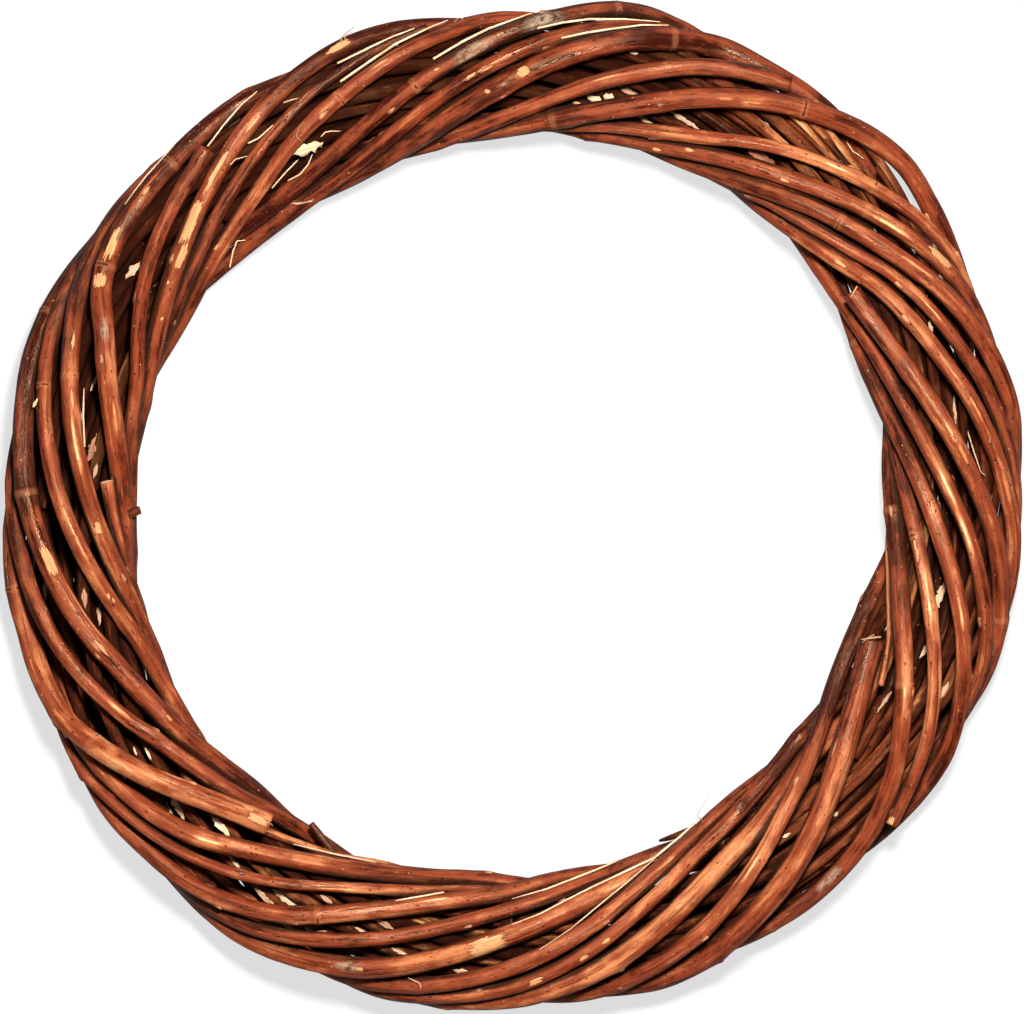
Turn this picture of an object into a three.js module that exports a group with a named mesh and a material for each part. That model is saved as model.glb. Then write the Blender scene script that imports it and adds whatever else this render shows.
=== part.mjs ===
import * as THREE from 'three';

// A wreath of long willow rods, wound round and round each other into a ring.
// It lies on its back: +Z is the front, +Y the top of the ring, and z = 0 is the table.
// Lengths are millimetres and angles are degrees, clockwise from the top of the ring.

// The wound band
const MIDDLE_RADIUS = 132; // from the ring's centre to the middle of the band
const INNER_TURN = 112.5; // where a rod turns up through the hole, unless its pass says so
const OUTER_TURN = 151.5; // where a rod turns down over the rim, unless its pass says so
const MIDDLE_HEIGHT = 18.2; // height of the band's middle plane above the table
const BAND_RISE = 15.6; // from the middle plane to the rods' centres on the front and back
const HALF_TURN = 60; // how far round the ring a rod goes while it crosses the band once
const BACK_SHARES = [0.25, 0.5, 0.75]; // where a rod is led through on its way behind the band

// The skin of a rod
const SIDES = 6;
const SKIN_STEP = 14.5; // distance between two rings of corners along a rod
const END_SLANT = 0.55; // how far a cut end leans, as a share of the rod's radius
const WHIP_END = 0.42; // what is left of the thickness at the end of a thin tip

// Colours of the bark, on the long rods, the shoots and the darker core
const BARK = 0x8a4420;
const SHOOT_BARK = 0xa9683a;
const CORE_BARK = 0x4a2414;
const ROUGHNESS = 0.55;

// How the rods settle against each other
const CLEARANCE = 0.34; // gap left between two rods that touch
const TINY = 1e-6; // stretches nearer than this cross, and parallel ones spread less than it
const SWELL_ROUNDS = 240; // rounds in which the rods grow to their full thickness
const SETTLE_ROUNDS = 180; // rounds in which they then give way to each other
const SETTLE_TRIES = 4; // pushes in each of those rounds
const LAST_PUSHES = 120; // pushes that clear what is left
const PAIR_ROUNDS = 12; // rounds between two searches for near stretches
const PAIR_REACH = 14; // stretches whose middles lie nearer than this are watched
const PAIR_SEARCH = 40; // and they are looked for within this distance
const SPRING_BACK = 0.985; // share of its drift that a rod keeps in each round
const SMOOTHING = 0.25; // share of the drift that a point takes from each neighbour
const OWN_NEIGHBOURS = 4; // stretches of the same rod that may lie together
const CORE_GIVE = 6; // how much more easily a core rod is pushed aside than a long one

// The long rods, from the thick end to the thin one. Each pass crosses the front of the band
// from the hole to the rim, through points of [angle, distance from the ring's centre], and
// thick is the rod's diameter in that pass. A rod goes back to the hole behind the band, and
// comes up again in its next pass. lift raises a pass that lies on top of its neighbours, and rim
// is where a pass would turn down that ends on top of the one beside it.
const LONG_RODS = [
  {
    name: 'rod_1',
    endHidden: 34,
    passes: [
      { thick: 7.2, lift: 2.2, buttAtFront: true,
        path: [[110.2, 115.4], [120, 118.8], [130, 125.6], [140, 134.6], [150, 141.9], [160, 147],
          [166, 146.4]] },
      { thick: 6.3,
        path: [[223, 116.6], [235, 120.6], [245, 125.4], [255, 134], [265, 141.5], [275, 147.3],
          [290, 151.1]] },
      { thick: 6.3, lift: 1.2,
        path: [[355, 113.6], [5, 116.7], [15, 123.8], [25, 135.3], [35, 146.7], [45, 155.2],
          [51, 156.3]] },
      { thick: 5.1,
        path: [[110, 110.2], [120, 111.2], [130, 116.9], [140, 124.1], [150, 133.8], [160, 142.2],
          [172, 146.7]] },
    ],
  },
  {
    name: 'rod_2',
    startHidden: 38,
    endHidden: 30,
    passes: [
      { thick: 5,
        path: [[238, 118.1], [250, 119.1], [260, 126.3], [270, 134.7], [280, 142.1], [290, 147.2],
          [301, 148.2]] },
      { thick: 4.1,
        path: [[5, 115.6], [15, 118.3], [25, 123], [35, 132.3], [45, 141.7], [55, 149.9], [63, 152]] },
    ],
  },
  {
    name: 'rod_3',
    startHidden: 30,
    passes: [
      { thick: 6.5,
        path: [[130, 115.7], [140, 119.2], [150, 123.9], [160, 132.3], [170, 141.2], [180, 147.1],
          [192, 149.6]] },
      { thick: 5.6,
        path: [[250, 117.8], [260, 120.1], [270, 126.3], [280, 133.5], [290, 140.7], [300, 146.3],
          [311, 146.9]] },
      { thick: 5.1,
        path: [[12, 114.8], [20, 116], [30, 120.6], [40, 127.5], [50, 137.5], [60, 147.3],
          [70, 151.4]] },
      { thick: 4.7,
        path: [[130, 112.1], [140, 113.8], [150, 117.1], [160, 124.8], [170, 135], [180, 144.1],
          [190, 148.7], [196, 149.7]] },
      { thick: 3.7, lift: 1, tipAtFront: true,
        path: [[256, 116.4], [262, 118], [268, 119.8], [273.5, 121.8]] },
    ],
  },
  {
    name: 'rod_4',
    startHidden: 12,
    passes: [
      { thick: 6.3, lift: 0.8,
        path: [[267, 117.2], [276, 118.5], [285, 124.7], [295, 134.7], [300, 141], [310, 144],
          [320, 145.1], [326, 145.1]] },
      { thick: 5.4,
        path: [[25, 117], [35, 120], [45, 127.7], [55, 136.2], [65, 146.1], [75, 152.2], [80, 152.6]] },
      { thick: 5.1,
        path: [[140, 110.6], [150, 113], [160, 119.1], [170, 128.7], [180, 138.3], [190, 145.8],
          [200, 149.7]] },
      { thick: 4.8, tipAtFront: true,
        path: [[270, 115.5], [280, 116.1], [290, 119], [300, 127.4], [310, 134.7], [319.7, 140.4]] },
    ],
  },
  {
    name: 'rod_5',
    endHidden: 30,
    passes: [
      { thick: 5.6, lift: 2.4, buttAtFront: true,
        path: [[57.7, 120.8], [65, 122.7], [75, 128.7], [85, 137.1], [95, 146], [105, 150.9],
          [108, 150.9]] },
      { thick: 5.5,
        path: [[172, 113], [180, 115.6], [190, 120.4], [200, 128.9], [210, 141], [220, 148.7],
          [230, 151.3], [235, 151.8]] },
      { thick: 4.8,
        path: [[300, 114.9], [310, 117], [320, 120.9], [330, 128.4], [340, 135.3], [350, 142.4],
          [0, 146.7]] },
      { thick: 4.5,
        path: [[54, 117], [65, 118.1], [75, 121.7], [85, 128.5], [95, 138.6], [105, 147.2],
          [112, 149.1]] },
      { thick: 3.3,
        path: [[186, 115.2], [195, 118.5], [205, 125.1], [215, 135.3], [225, 143.7], [235, 149],
          [241, 150.6]] },
    ],
  },
  {
    name: 'rod_6',
    startHidden: 32,
    passes: [
      { thick: 5.4,
        path: [[320, 115.7], [330, 117], [340, 123], [350, 132.3], [0, 142.2], [10, 150.9],
          [16, 153.2]] },
      { thick: 5.1,
        path: [[66, 115.2], [75, 116.1], [85, 121.6], [95, 129.6], [105, 139.7], [115, 147.8],
          [122, 150]] },
      { thick: 5.6,
        path: [[185, 113.8], [195, 115.6], [205, 120.2], [215, 127.7], [225, 138.3], [235, 145.2],
          [245, 147.6]] },
      { thick: 4.8,
        path: [[325, 111.5], [335, 113], [345, 119.4], [355, 129.9], [5, 141], [13, 148.2],
          [18, 150.8]] },
      { thick: 4.4, lift: -1.5, tipAtFront: true,
        path: [[80, 117.2], [90, 119.8], [100, 125.9], [110, 134.7], [120, 142.8], [130, 147.9]] },
    ],
  },
  {
    name: 'rod_7',
    passes: [
      { thick: 6.6, lift: 3.4, buttAtFront: true,
        path: [[217.5, 120], [225, 125.4], [235, 137.4], [245, 148.8], [255, 150.2], [265, 150]] },
      { thick: 6.9, lift: 0.8,
        path: [[335, 111.3], [345, 114.6], [355, 123], [5, 134.4], [15, 145.6], [25, 151.8],
          [32, 151.6], [38, 152]] },
      { thick: 5.4, lift: 1.2,
        path: [[86, 114.9], [95, 116.3], [105, 121.2], [115, 129.6], [125, 139.8], [135, 145.8],
          [148, 146.7]] },
      { thick: 4.8,
        path: [[215, 116.4], [225, 120.5], [235, 126], [245, 135.6], [255, 143.7], [265, 148.5],
          [275, 150.3]] },
      { thick: 5.1, tipAtFront: true, rim: 159,
        path: [[347, 112], [355, 114.5], [5, 122.5], [15, 134.1], [25, 145.5], [33.3, 151.8]] },
    ],
  },
  {
    name: 'rod_8',
    whip: 110,
    startHidden: 34,
    passes: [
      { thick: 6.3,
        path: [[155, 115.7], [165, 118.7], [175, 124.4], [185, 132.6], [195, 142.8], [205, 149.6],
          [215, 152.3]] },
      { thick: 5.4,
        path: [[285, 116.1], [295, 119.1], [305, 124.2], [315, 131.1], [325, 138.9], [335, 145.4],
          [345, 148]] },
      { thick: 5,
        path: [[40, 118.3], [50, 121.3], [60, 129], [70, 135.9], [80, 143.6], [90, 149], [97, 150.6]] },
      { thick: 4.4,
        path: [[158, 112], [170, 114.5], [180, 119.8], [190, 127.8], [200, 137.9], [210, 147.2],
          [219, 150.5]] },
      { thick: 4.8, tipAtFront: true,
        path: [[295, 116.4], [305, 119.2], [315, 124.5], [325, 131.1], [335, 138.3], [345, 143.9],
          [350, 146.1]] },
    ],
  },
  {
    name: 'rod_9',
    startHidden: 44,
    endHidden: 44,
    passes: [
      { thick: 4.1,
        path: [[30, 116.9], [40, 120.4], [50, 125.3], [60, 135], [70, 142.6], [80, 148.9],
          [92, 151.4]] },
    ],
  },
];

// Two thin side shoots, tucked under the long rods at the front
const SHOOTS = [
  {
    name: 'shoot_1',
    startHidden: 26,
    passes: [
      { thick: 2.1, tipAtFront: true, path: [[95, 113.4], [100, 114.6], [110, 119.6], [116, 122.1]] },
    ],
  },
  {
    name: 'shoot_2',
    startHidden: 24,
    passes: [
      { thick: 2.3, lift: -2.6, tipAtFront: true, path: [[198, 114], [207, 117.3], [219, 123.4]] },
    ],
  },
];

// The first hoops, which the others are wound on. They twist the other way inside the band, in
// an outer and an inner layer.
const CORE_LAYERS = [
  { count: 8, share: 1 },
  { count: 4, share: 0.38 }, // share of the spread and the rise below
];
const CORE_SIDES = 5;
const CORE_THICK = 4.4; // diameter at the thick end
const CORE_THIN = 3.4; // and at the thin one
const CORE_SPREAD = 10.8; // from the middle of the band to a core rod, across the band
const CORE_RISE = 9.4; // the same, up and down
const CORE_WAVER = 1.1; // how far a core rod wavers in and out on its way
const CORE_LENGTH = 396; // how far round the ring a core rod goes
const CORE_TWIST = 205; // how far round the ring it goes in one full twist
const CORE_KEY_STEP = 18; // between two points that a core rod is led through

// A place in the ring, from an angle, a distance from its centre and a height
function place(angle, radius, height) {
  const turn = THREE.MathUtils.degToRad(angle);
  return new THREE.Vector3(radius * Math.sin(turn), radius * Math.cos(turn), height);
}

// Adds whole turns to the passes' angles, so that they grow from the thick end to the thin one
function unrolled(passes) {
  let last = -Infinity;
  return passes.map((pass) => {
    const path = pass.path.map(([angle, radius]) => {
      let grown = angle;
      while (grown < last) grown += 360;
      last = grown;
      return [grown, radius];
    });
    return { ...pass, path };
  });
}

// Height of a rod on the front of the band, from where it is between its two turns
function frontHeight(radius, inner, outer, lift) {
  const across = THREE.MathUtils.mapLinear(radius, inner, outer, -1, 1);
  const bow = Math.sqrt(Math.max(0, 1 - across * across));
  return MIDDLE_HEIGHT + (BAND_RISE + lift) * bow;
}

// Points behind the band, where a share of 0 is the turn at the rim and 1 the turn at the hole
function backPoints(rim, hole, shares) {
  return shares.map((share) => {
    const swing = Math.PI * share;
    const middle = (rim[1] + hole[1]) / 2;
    const reach = (rim[1] - hole[1]) / 2;
    const angle = THREE.MathUtils.lerp(rim[0], hole[0], share);
    return place(angle, middle + reach * Math.cos(swing), MIDDLE_HEIGHT - BAND_RISE * Math.sin(swing));
  });
}

// The points that a wound rod is led through, before it has settled, and its thickness at some
// of them, as [number of the point, thickness]
function woundPoints({ passes, startHidden = 0, endHidden = 0 }) {
  const points = [];
  const marks = [];
  const turns = unrolled(passes);
  const first = turns[0].path[0];
  if (startHidden > 0) {
    const share = startHidden / HALF_TURN;
    const rim = [first[0] - HALF_TURN, OUTER_TURN];
    points.push(...backPoints(rim, first, [1 - share, 1 - share / 2]));
  }
  turns.forEach(({ path, thick, lift = 0, buttAtFront, tipAtFront, rim }, index) => {
    const inner = buttAtFront ? INNER_TURN : path[0][1];
    const outer = rim ?? (tipAtFront ? OUTER_TURN : path.at(-1)[1]);
    marks.push([points.length + (path.length - 1) / 2, thick]);
    for (const [angle, radius] of path) {
      points.push(place(angle, radius, frontHeight(radius, inner, outer, lift)));
    }
    const next = turns[index + 1];
    if (next) points.push(...backPoints(path.at(-1), next.path[0], BACK_SHARES));
  });
  const last = turns.at(-1).path.at(-1);
  if (endHidden > 0) {
    const share = endHidden / HALF_TURN;
    const hole = [last[0] + HALF_TURN, INNER_TURN];
    points.push(...backPoints(last, hole, [share / 2, share]));
  }
  return { points, marks };
}

// The same for a core rod, which starts further round the ring than the one before it
function corePoints({ count, share }, index) {
  const points = [];
  const start = (index * 360) / count;
  const phase = (index * 2 * Math.PI * (1 + 360 / CORE_TWIST)) / count;
  for (let along = 0; along <= CORE_LENGTH; along += CORE_KEY_STEP) {
    const twist = phase + (2 * Math.PI * along) / CORE_TWIST;
    const waver = CORE_WAVER * Math.sin(index + along / CORE_KEY_STEP);
    const radius = MIDDLE_RADIUS + (CORE_SPREAD * share + waver) * Math.cos(twist);
    const rise = (CORE_RISE * share + waver) * Math.sin(twist);
    points.push(place(start + along, radius, MIDDLE_HEIGHT + rise));
  }
  return { points, marks: [[0, CORE_THICK], [points.length - 1, CORE_THIN]] };
}

// Thickness at a place between the numbered points
function thicknessAt(marks, number) {
  const after = marks.findIndex((mark) => mark[0] >= number);
  if (after === 0) return marks[0][1];
  if (after < 0) return marks.at(-1)[1];
  const [from, to] = [marks[after - 1], marks[after]];
  return THREE.MathUtils.mapLinear(number, from[0], to[0], from[1], to[1]);
}

// A rod as a row of evenly spaced points, each with the rod's radius there.
// goal is where a point should be, and at is where it is. A whip is a tip that thins out, and
// give is how easily the rod is pushed aside.
function rodAlong({ points, marks }, { name, color, sides = SIDES, whip = 0, give = 1 }) {
  const curve = new THREE.CatmullRomCurve3(points, false, 'centripetal');
  const length = curve.getLength();
  const steps = Math.round(length / SKIN_STEP);
  const goal = curve.getSpacedPoints(steps);
  const radii = goal.map((point, index) => {
    const share = index / steps;
    const number = curve.getUtoTmapping(share) * (points.length - 1);
    const fromTip = length * (1 - share);
    const thinned = fromTip < whip ? THREE.MathUtils.lerp(WHIP_END, 1, fromTip / whip) : 1;
    return (thicknessAt(marks, number) * thinned) / 2;
  });
  return { name, color, sides, give, goal, at: goal.map((point) => point.clone()), radii };
}

// Where two straight stretches come nearest, as the share along each and the way between them
const alongA = new THREE.Vector3();
const alongB = new THREE.Vector3();
const between = new THREE.Vector3();
function nearest(a0, a1, b0, b1, result) {
  alongA.subVectors(a1, a0);
  alongB.subVectors(b1, b0);
  between.subVectors(a0, b0);
  const aa = alongA.lengthSq();
  const bb = alongB.lengthSq();
  const ab = alongA.dot(alongB);
  const ad = alongA.dot(between);
  const bd = alongB.dot(between);
  const spread = aa * bb - ab * ab;
  let s = spread > TINY ? THREE.MathUtils.clamp((ab * bd - bb * ad) / spread, 0, 1) : 0.5;
  const t = THREE.MathUtils.clamp((ab * s + bd) / bb, 0, 1);
  s = THREE.MathUtils.clamp((ab * t - ad) / aa, 0, 1);
  between.addScaledVector(alongA, s).addScaledVector(alongB, -t);
  result.s = s;
  result.t = t;
  result.distance = between.length();
  return result;
}

// Every two stretches that are near enough to touch soon
function nearStretches(rods) {
  const pairs = [];
  const result = {};
  rods.forEach((a, first) => {
    for (let second = first; second < rods.length; second += 1) {
      const b = rods[second];
      for (let i = 0; i + 1 < a.at.length; i += 1) {
        const from = a === b ? i + OWN_NEIGHBOURS : 0;
        for (let j = from; j + 1 < b.at.length; j += 1) {
          if (a.at[i].distanceTo(b.at[j]) > PAIR_SEARCH) continue;
          nearest(a.at[i], a.at[i + 1], b.at[j], b.at[j + 1], result);
          if (result.distance < PAIR_REACH) pairs.push([a, i, b, j]);
        }
      }
    }
  });
  return pairs;
}

// Moves both ends of a stretch so that its point at the given share moves by the push
const pushed = new THREE.Vector3();
function moveStretch(rod, index, share, push) {
  const grip = (1 - share) ** 2 + share ** 2;
  rod.at[index].addScaledVector(push, (1 - share) / grip);
  rod.at[index + 1].addScaledVector(push, share / grip);
}

// Pushes apart the stretches that are nearer than their thickness allows
function pushApart(pairs, swell) {
  const result = {};
  for (const [a, i, b, j] of pairs) {
    nearest(a.at[i], a.at[i + 1], b.at[j], b.at[j + 1], result);
    const { s, t, distance } = result;
    const radiusA = THREE.MathUtils.lerp(a.radii[i], a.radii[i + 1], s);
    const radiusB = THREE.MathUtils.lerp(b.radii[j], b.radii[j + 1], t);
    const room = (radiusA + radiusB) * swell + CLEARANCE;
    if (distance >= room) continue;
    if (distance < TINY) between.set(0, 0, TINY);
    const shareA = a.give / (a.give + b.give);
    moveStretch(a, i, s, pushed.copy(between).setLength((room - distance) * shareA));
    moveStretch(b, j, t, pushed.copy(between).setLength((distance - room) * (1 - shareA)));
  }
}

// Eases a rod back to its goal, and shares its drift along its length
function easeBack(rod) {
  const drift = rod.at.map((point, index) => point.clone().sub(rod.goal[index]));
  rod.at.forEach((point, index) => {
    const before = drift[Math.max(index - 1, 0)];
    const after = drift[Math.min(index + 1, drift.length - 1)];
    const shared = drift[index].clone().multiplyScalar(1 - 2 * SMOOTHING);
    shared.addScaledVector(before, SMOOTHING).addScaledVector(after, SMOOTHING);
    point.copy(rod.goal[index]).addScaledVector(shared, SPRING_BACK);
  });
}

// Keeps a rod on the table, on the flat side of its skin
function liftOffTable(rod) {
  const flat = Math.cos(Math.PI / rod.sides);
  rod.at.forEach((point, index) => {
    point.z = Math.max(point.z, rod.radii[index] * flat);
  });
}

// Lets all rods find room: they swell to their full thickness and push each other aside
function settle(rods) {
  let pairs = [];
  for (let round = 0; round < SWELL_ROUNDS + SETTLE_ROUNDS; round += 1) {
    if (round % PAIR_ROUNDS === 0) pairs = nearStretches(rods);
    const swell = Math.min(1, (round + 1) / SWELL_ROUNDS);
    const tries = round < SWELL_ROUNDS ? 1 : SETTLE_TRIES;
    rods.forEach(easeBack);
    for (let again = 0; again < tries; again += 1) {
      pushApart(pairs, swell);
      rods.forEach(liftOffTable);
    }
  }
  for (let push = 0; push < LAST_PUSHES; push += 1) {
    pushApart(pairs, 1);
    rods.forEach(liftOffTable);
  }
}

// A ring of corners round a point of a rod. A flat side faces the table, and cut ends slant.
function cornerRing({ at, radii, sides }, index) {
  const end = at.length - 1;
  const ahead = at[Math.min(index + 1, end)].clone().sub(at[Math.max(index - 1, 0)]).normalize();
  const side = new THREE.Vector3(ahead.y, -ahead.x, 0).normalize();
  const up = new THREE.Vector3().crossVectors(side, ahead);
  const slant = index === 0 || index === end ? END_SLANT : 0;
  const ring = [];
  for (let corner = 0; corner < sides; corner += 1) {
    const turn = (2 * Math.PI * (corner + 0.5)) / sides + Math.PI / 2;
    const point = at[index].clone();
    point.addScaledVector(side, radii[index] * Math.cos(turn));
    point.addScaledVector(up, radii[index] * Math.sin(turn));
    point.addScaledVector(ahead, slant * radii[index] * Math.cos(turn));
    ring.push(point.x, point.y, Math.max(point.z, 0));
  }
  return ring;
}

// The closed skin of a rod, with a flat face on each cut end
function rodGeometry(rod) {
  const { sides } = rod;
  const corners = rod.at.flatMap((point, index) => cornerRing(rod, index));
  const faces = [];
  const last = (rod.at.length - 1) * sides;
  for (let ring = 0; ring < last; ring += sides) {
    for (let corner = 0; corner < sides; corner += 1) {
      const a = ring + corner;
      const b = ring + ((corner + 1) % sides);
      faces.push(a, b + sides, b, a, a + sides, b + sides);
    }
  }
  for (let corner = 1; corner + 1 < sides; corner += 1) {
    faces.push(0, corner, corner + 1, last, last + corner + 1, last + corner);
  }
  const geometry = new THREE.BufferGeometry();
  geometry.setAttribute('position', new THREE.Float32BufferAttribute(corners, 3));
  geometry.setIndex(faces);
  geometry.computeVertexNormals();
  return geometry;
}

function rodMesh(rod) {
  const bark = new THREE.MeshStandardMaterial({ color: rod.color, roughness: ROUGHNESS });
  const mesh = new THREE.Mesh(rodGeometry(rod), bark);
  mesh.name = rod.name;
  return mesh;
}

const rods = LONG_RODS.map((rod) => rodAlong(woundPoints(rod), { ...rod, color: BARK }));
for (const shoot of SHOOTS) rods.push(rodAlong(woundPoints(shoot), { ...shoot, color: SHOOT_BARK }));
let coreRods = 0;
for (const layer of CORE_LAYERS) {
  for (let index = 0; index < layer.count; index += 1) {
    coreRods += 1;
    const skin = { name: `core_rod_${coreRods}`, color: CORE_BARK, sides: CORE_SIDES, give: CORE_GIVE };
    rods.push(rodAlong(corePoints(layer, index), skin));
  }
}
settle(rods);

const wreath = new THREE.Group();
for (const rod of rods) wreath.add(rodMesh(rod));

// The origin is the middle of the wreath's outline, on the table
const outline = new THREE.Box3().setFromObject(wreath);
const middle = outline.getCenter(new THREE.Vector3());
wreath.position.set(-middle.x, -middle.y, 0);

export default wreath;
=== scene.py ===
import math

import bmesh
import bpy
import numpy as np
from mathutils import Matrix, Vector
from mathutils.bvhtree import BVHTree


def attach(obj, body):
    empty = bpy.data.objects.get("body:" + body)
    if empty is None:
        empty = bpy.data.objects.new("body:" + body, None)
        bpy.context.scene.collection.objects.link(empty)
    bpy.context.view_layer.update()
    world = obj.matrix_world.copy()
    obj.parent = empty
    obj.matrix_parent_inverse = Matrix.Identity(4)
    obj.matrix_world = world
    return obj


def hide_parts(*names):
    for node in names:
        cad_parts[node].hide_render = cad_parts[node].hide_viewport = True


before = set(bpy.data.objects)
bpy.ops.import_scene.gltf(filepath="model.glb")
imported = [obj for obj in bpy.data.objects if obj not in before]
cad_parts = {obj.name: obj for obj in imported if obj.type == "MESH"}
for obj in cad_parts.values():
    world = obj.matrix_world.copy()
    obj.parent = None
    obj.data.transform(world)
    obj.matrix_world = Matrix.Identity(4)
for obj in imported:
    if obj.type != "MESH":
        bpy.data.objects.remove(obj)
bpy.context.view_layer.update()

# A willow wreath, lying on its back with its front up. Lengths are metres unless a name says mm.
# Places on the front are given as an angle in degrees, clockwise from the top of the ring, and a
# distance from the ring's middle in millimetres.


# The willow bark.
# One-year shoots dried with the bark on: smooth and reddish brown, with fine streaks along the
# rod, dark breathing pores, grey film in places, and pale yellow wood where the bark has come off.
def add(tree, kind, inputs=None, **settings):
    made = tree.nodes.new(kind)
    for name, value in settings.items():
        setattr(made, name, value)
    for key, value in (inputs or {}).items():
        if isinstance(value, bpy.types.NodeSocket):
            tree.links.new(value, made.inputs[key])
        else:
            made.inputs[key].default_value = value
    return made


def output(tree, kind, inputs=None, **settings):
    """The first output of a new node."""
    return add(tree, kind, inputs, **settings).outputs[0]


def tree_of(*values):
    """The tree that the first socket among some values belongs to."""
    return next(value for value in values if isinstance(value, bpy.types.NodeSocket)).id_data


def sums(operation, *values):
    inputs = dict(enumerate(values))
    return output(tree_of(*values), "ShaderNodeMath", inputs, operation=operation)


def times(first, second, more=None):
    """One value times another, plus a third if there is one."""
    if more is None:
        return sums("MULTIPLY", first, second)
    return sums("MULTIPLY_ADD", first, second, more)


def stretched(vector, scale):
    inputs = {0: vector, 1: scale}
    return output(tree_of(vector), "ShaderNodeVectorMath", inputs, operation="MULTIPLY")


def noise_at(vector, scale, detail=2.0, roughness=0.5, distortion=0.0):
    inputs = {"Vector": stretched(vector, scale), "Scale": 1.0, "Detail": detail,
              "Roughness": roughness, "Distortion": distortion}
    return add(tree_of(vector), "ShaderNodeTexNoise", inputs).outputs["Fac"]


def eased(value, low, high, start=0.0, end=1.0):
    inputs = {0: value, 1: low, 2: high, 3: start, 4: end}
    return output(tree_of(value), "ShaderNodeMapRange", inputs, interpolation_type="SMOOTHSTEP")


def mixed(share, first, second):
    inputs = {0: share, 6: first, 7: second}
    return add(tree_of(share), "ShaderNodeMix", inputs, data_type="RGBA").outputs[2]


def painted_on(tree, **fields):
    """What is painted on the mesh, by the name of the field and the kind of output."""
    return [add(tree, "ShaderNodeAttribute", attribute_name=name).outputs[kind]
            for name, kind in fields.items()]


def colour(red, green, blue):
    straight = [((c / 255 + 0.055) / 1.055) ** 2.4 if c > 10 else c / 255 / 12.92
                for c in (red, green, blue)]
    return (*straight, 1.0)


def recipe(kind, name, inputs, outputs):
    """A new node group, with what its input node gives and what its output node takes."""
    tree = bpy.data.node_groups.new(name, kind)
    for way, sockets in (("INPUT", inputs), ("OUTPUT", outputs)):
        for label, holds in sockets.items():
            tree.interface.new_socket(label, in_out=way, socket_type="NodeSocket" + holds)
    give, take = tree.nodes.new("NodeGroupInput"), tree.nodes.new("NodeGroupOutput")
    return tree, give.outputs, take.inputs


# What the bark and the bare wood both put out
SURFACE = {"Color": "Color", "Roughness": "Float", "Height": "Float"}
# The bark itself, laid along the straight rod: Place is a point of the rod unbent, in mm
bark, give, take = recipe(
    "ShaderNodeTree", "willow_bark",
    {"Place": "Vector", "Tone": "Float", "Grey": "Float", "Dark": "Color", "Warm": "Color",
     "Tan": "Color"}, SURFACE)
place = give["Place"]
streaks = noise_at(place, (0.6, 0.6, 0.03), 2.0, 0.5)
clouds = noise_at(place, (0.25, 0.25, 0.09), 3.0, 0.5, 0.4)
mottle = noise_at(place, (1.3, 1.3, 0.3), 4.0, 0.6, 0.4)
fine = noise_at(place, (4.0, 4.0, 0.6), 2.0, 0.6)
tone = give["Tone"]
for layer, reach in ((clouds, 0.26), (streaks, 0.2), (mottle, 0.09), (fine, 0.08)):
    tone = sums("ADD", tone, eased(layer, 0.3, 0.7, -reach, reach))
skin = mixed(eased(tone, -0.1, 0.5), give["Dark"], give["Warm"])
skin = mixed(eased(tone, 0.5, 1.1), skin, give["Tan"])
# The palest tones, which mostly the painted highlight streaks reach, are a cream
skin = mixed(eased(tone, 1.05, 1.6), skin, colour(255, 208, 150))
# A few wrinkles that run along the rod, dark inside, and thin flakes that lift, painted paler as a
# highlight on them
wrinkle = eased(noise_at(place, (1.1, 1.1, 0.035), 2.0, 0.5, 0.2), 0.63, 0.69)
flake_glint = eased(noise_at(place, (1.7, 1.7, 0.25), 4.0, 0.7, 0.8), 0.62, 0.7)
film = eased(noise_at(place, (0.9, 0.9, 0.4), 4.0, 0.7), 0.35, 0.62)
film = times(give["Grey"], film)


def scattered(scale):
    """Points strewn over the bark: how far the nearest one is, and a random colour that it has."""
    cells = add(bark, "ShaderNodeTexVoronoi", {
        "Vector": stretched(place, scale), "Scale": 1.0, "Randomness": 1.0}).outputs
    lots = add(bark, "ShaderNodeSeparateColor", {0: cells["Color"]}).outputs
    return cells["Distance"], lots


def spots_of(distance, full, none, lot, least):
    """Round spots, on the points whose lot is over a limit."""
    return times(eased(distance, full, none, 1.0, 0.0), sums("GREATER_THAN", lot, least))


# Breathing pores in loose groups, most of them dark pits and a few of them pale warts
distance, lots = scattered((1.0, 1.0, 0.55))
crowd = noise_at(place, (0.25, 0.25, 0.1), 2.0)
pore = spots_of(distance, 0.1, 0.24, times(lots[0], crowd), 0.37)
wart = spots_of(distance, 0.1, 0.26, lots[1], 0.965)
# Pinholes and specks of dirt, far apart
distance, lots = scattered((0.45, 0.45, 0.28))
speck = spots_of(times(fine, 0.1, distance), 0.14, 0.22, lots[0], 0.66)
for layer, strength, hue in (
        (wrinkle, 0.6, give["Dark"]), (flake_glint, 0.4, colour(220, 142, 96)),
        (film, 0.8, colour(164, 142, 118)), (pore, 0.8, colour(44, 12, 8)),
        (speck, 0.8, colour(40, 12, 8)), (wart, 0.75, colour(226, 160, 108))):
    skin = mixed(times(layer, strength), skin, hue)
bark.links.new(skin, take["Color"])
rough = eased(streaks, 0.36, 0.62, 0.26, 0.6)
bark.links.new(times(film, 0.25, rough), take["Roughness"])
height = times(streaks, 0.5)
for layer, share in ((mottle, 0.5), (fine, 0.12), (wrinkle, -0.4), (flake_glint, 0.3),
                     (sums("ADD", pore, speck), -0.5), (wart, 0.5)):
    height = times(layer, share, height)
bark.links.new(height, take["Height"])

# Bare willow wood, pale with fine grain
wood, give, take = recipe("ShaderNodeTree", "bare_willow",
                          {"Place": "Vector", "Light": "Color", "Deep": "Color"}, SURFACE)
grain = noise_at(give["Place"], (2.4, 2.4, 0.09), 4.0, 0.65)
wood.links.new(mixed(eased(grain, 0.35, 0.7), give["Light"], give["Deep"]), take["Color"])
wood.links.new(times(grain, 0.2, 0.5), take["Roughness"])
wood.links.new(times(grain, 0.6), take["Height"])


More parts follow.
